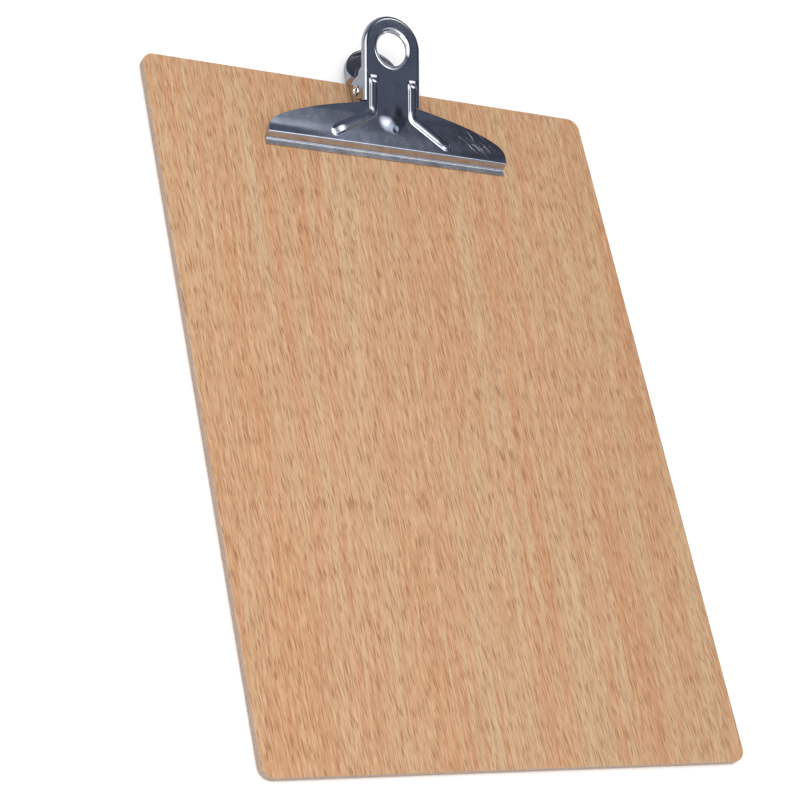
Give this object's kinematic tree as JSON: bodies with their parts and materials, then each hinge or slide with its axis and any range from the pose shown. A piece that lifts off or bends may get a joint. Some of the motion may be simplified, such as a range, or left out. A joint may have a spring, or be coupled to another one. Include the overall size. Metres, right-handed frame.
{
  "type": "clipboard",
  "caption": "Flat rectangular writing board in beech-look laminate with a wide sprung steel lever clip riveted near the top edge.",
  "frame": {"origin": "middle of the board's back face", "axes": "+X to the right, +Y along the board towards the clip, +Z out of the writing face"},
  "size_m": [0.225, 0.3371, 0.0317],
  "materials": {
    "decor_back": "beech print laminate, satin",
    "core": "grey-brown hardboard edge, matt",
    "decor_front": "beech print laminate, satin",
    "base_steel": "bright nickel plate",
    "jaw_steel": "bright nickel plate, finely scuffed",
    "pin_steel": "bright nickel plate",
    "spring_steel": "dark drawn spring wire",
    "rivet_steel": "nickel plate"
  },
  "bodies": {
    "board": {"back_decor_layer": "decor_back", "board_core": "core", "front_decor_layer": "decor_front", "clip_base_plate": "base_steel", "pivot_pin": "pin_steel", "torsion_spring": "spring_steel", "rivet_left": "rivet_steel", "rivet_right": "rivet_steel"},
    "jaw": {"jaw_plate": "jaw_steel"}
  },
  "joints": [
    {"name": "jaw_open", "type": "hinge", "parent": "board", "child": "jaw", "pos_m": [0, 0.14865, 0.01166], "axis": [-1, 0, 0], "range_deg": [0, 28], "stiffness_Nm_per_rad": 0.5, "springref_deg": -49.85, "deforming": ["torsion_spring"]}
  ]
}
